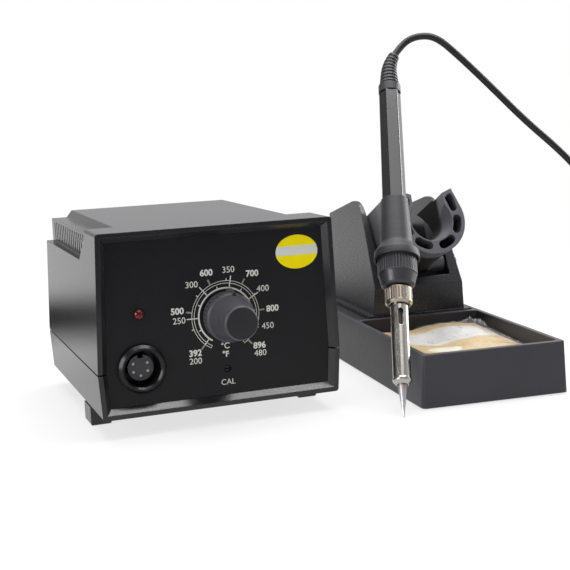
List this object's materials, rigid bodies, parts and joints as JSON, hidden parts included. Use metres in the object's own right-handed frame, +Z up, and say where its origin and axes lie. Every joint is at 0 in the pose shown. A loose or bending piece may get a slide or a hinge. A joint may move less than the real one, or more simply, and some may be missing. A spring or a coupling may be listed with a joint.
{
  "type": "soldering iron station",
  "caption": "Desktop soldering station: black control box with dial, lamp and socket, a stand with sponge tray and tilting receptacle, and a slim iron on a coiled cord.",
  "frame": {"origin": "centre of the bottom of the box round the control box, the stand and the iron, on the table", "axes": "+Z up, the front panel faces -Y, +X from the control box towards the stand"},
  "size_m": [0.3368, 0.232, 0.1852],
  "materials": {
    "casing_plastic": "satin",
    "panel_plastic": "matt",
    "knob_plastic": "satin",
    "red_lens": "gloss",
    "nickel": "bright",
    "steel": "plain",
    "black_insulation": "matt",
    "brass": "plain",
    "board": "satin",
    "component": "matt",
    "aluminium": "plain",
    "core_steel": "varnished",
    "winding": "taped",
    "rubber": "matt",
    "stand_plastic": "satin",
    "sponge_packet": "soft",
    "tip_metal": "plated",
    "element_ceramic": "ceramic",
    "handle_plastic": "gloss",
    "glass": "clear",
    "cord": "satin"
  },
  "bodies": {
    "station_and_stand": {"lower_casing": "casing_plastic", "upper_casing": "casing_plastic", "casing_screws": "steel", "station_feet": "rubber", "front_panel": "panel_plastic", "rear_panel": "panel_plastic", "status_lamp": "red_lens", "socket_shell": "nickel", "socket_insulator": "black_insulation", "socket_contacts": "brass", "socket_nut": "nickel", "potentiometer": "aluminium", "potentiometer_nut": "nickel", "control_board": "board", "board_components": "component", "heat_sink": "aluminium", "trimmer_body": "black_insulation", "transformer_core": "core_steel", "transformer_winding": "winding", "transformer_clamp": "steel", "transformer_screws": "steel", "switch_housing": "black_insulation", "fuse_holder": "black_insulation", "fuse": "glass", "cord_gland": "rubber", "stand_base": "stand_plastic", "stand_pads": "rubber", "stand_tower": "stand_plastic", "tower_screws": "steel", "receptacle_pivot": "steel"},
    "knob": {"temperature_knob": "knob_plastic", "potentiometer_shaft": "steel"},
    "trimmer": {"trimmer_screw": "steel"},
    "rocker": {"power_rocker": "black_insulation"},
    "fuse_plug": {"fuse_cap": "black_insulation"},
    "receptacle": {"iron_receptacle": "stand_plastic"},
    "sponge": {"cleaning_sponge": "sponge_packet"},
    "iron": {"soldering_tip": "tip_metal", "heating_element": "element_ceramic", "tip_enclosure": "nickel", "nipple": "black_insulation", "handle_grip": "rubber", "handle_tube": "handle_plastic", "terminal_board": "black_insulation", "cord_boot": "rubber", "iron_cord": "cord", "cord_coil": "cord", "coil_tie": "cord", "plug_boot": "rubber", "plug_shell": "nickel", "plug_insert": "black_insulation", "plug_pins": "brass"},
    "tip_nut": {"enclosure_nut": "nickel"},
    "lock_ring": {"plug_lock_ring": "nickel"}
  },
  "joints": [
    {"name": "temperature_setting", "type": "hinge", "parent": "station_and_stand", "child": "knob", "pos_m": [-0.05992, -0.06688, 0.0525], "axis": [0, 1, 0], "range_deg": [-148, 132]},
    {"name": "calibration_turn", "type": "hinge", "parent": "station_and_stand", "child": "trimmer", "pos_m": [-0.06042, -0.06688, 0.0268], "axis": [0, 1, 0], "range_deg": [-105, 105]},
    {"name": "power_rock", "type": "hinge", "parent": "station_and_stand", "child": "rocker", "pos_m": [-0.02942, 0.05172, 0.052], "axis": [1, 0, 0], "range_deg": [0, 20]},
    {"name": "fuse_cap_turn", "type": "hinge", "parent": "station_and_stand", "child": "fuse_plug", "pos_m": [-0.06742, 0.05312, 0.052], "axis": [0, 1, 0], "range_deg": [0, 90]},
    {"name": "receptacle_tilt", "type": "hinge", "parent": "station_and_stand", "child": "receptacle", "pos_m": [0.08159, 0.02111, 0.05367], "axis": [0.9974, -0.0724, 0], "range_deg": [-20, 12]},
    {"name": "sponge_lift", "type": "slide", "parent": "station_and_stand", "child": "sponge", "axis": [0, 0, 1], "range_m": [0, 0.022]},
    {"name": "iron_lift", "type": "slide", "parent": "station_and_stand", "child": "iron", "axis": [0, 0, 1], "range_m": [0, 0.08]},
    {"name": "tip_nut_turn", "type": "hinge", "parent": "iron", "child": "tip_nut", "pos_m": [0.03076, -0.06675, 0.05393], "axis": [0.2224, 0.4972, 0.8387], "range_deg": [0, 360]},
    {"name": "lock_ring_turn", "type": "hinge", "parent": "iron", "child": "lock_ring", "pos_m": [0.1587, -0.12266, 0.0096], "axis": [-0.8944, -0.4472, 0], "range_deg": [0, 180]}
  ]
}
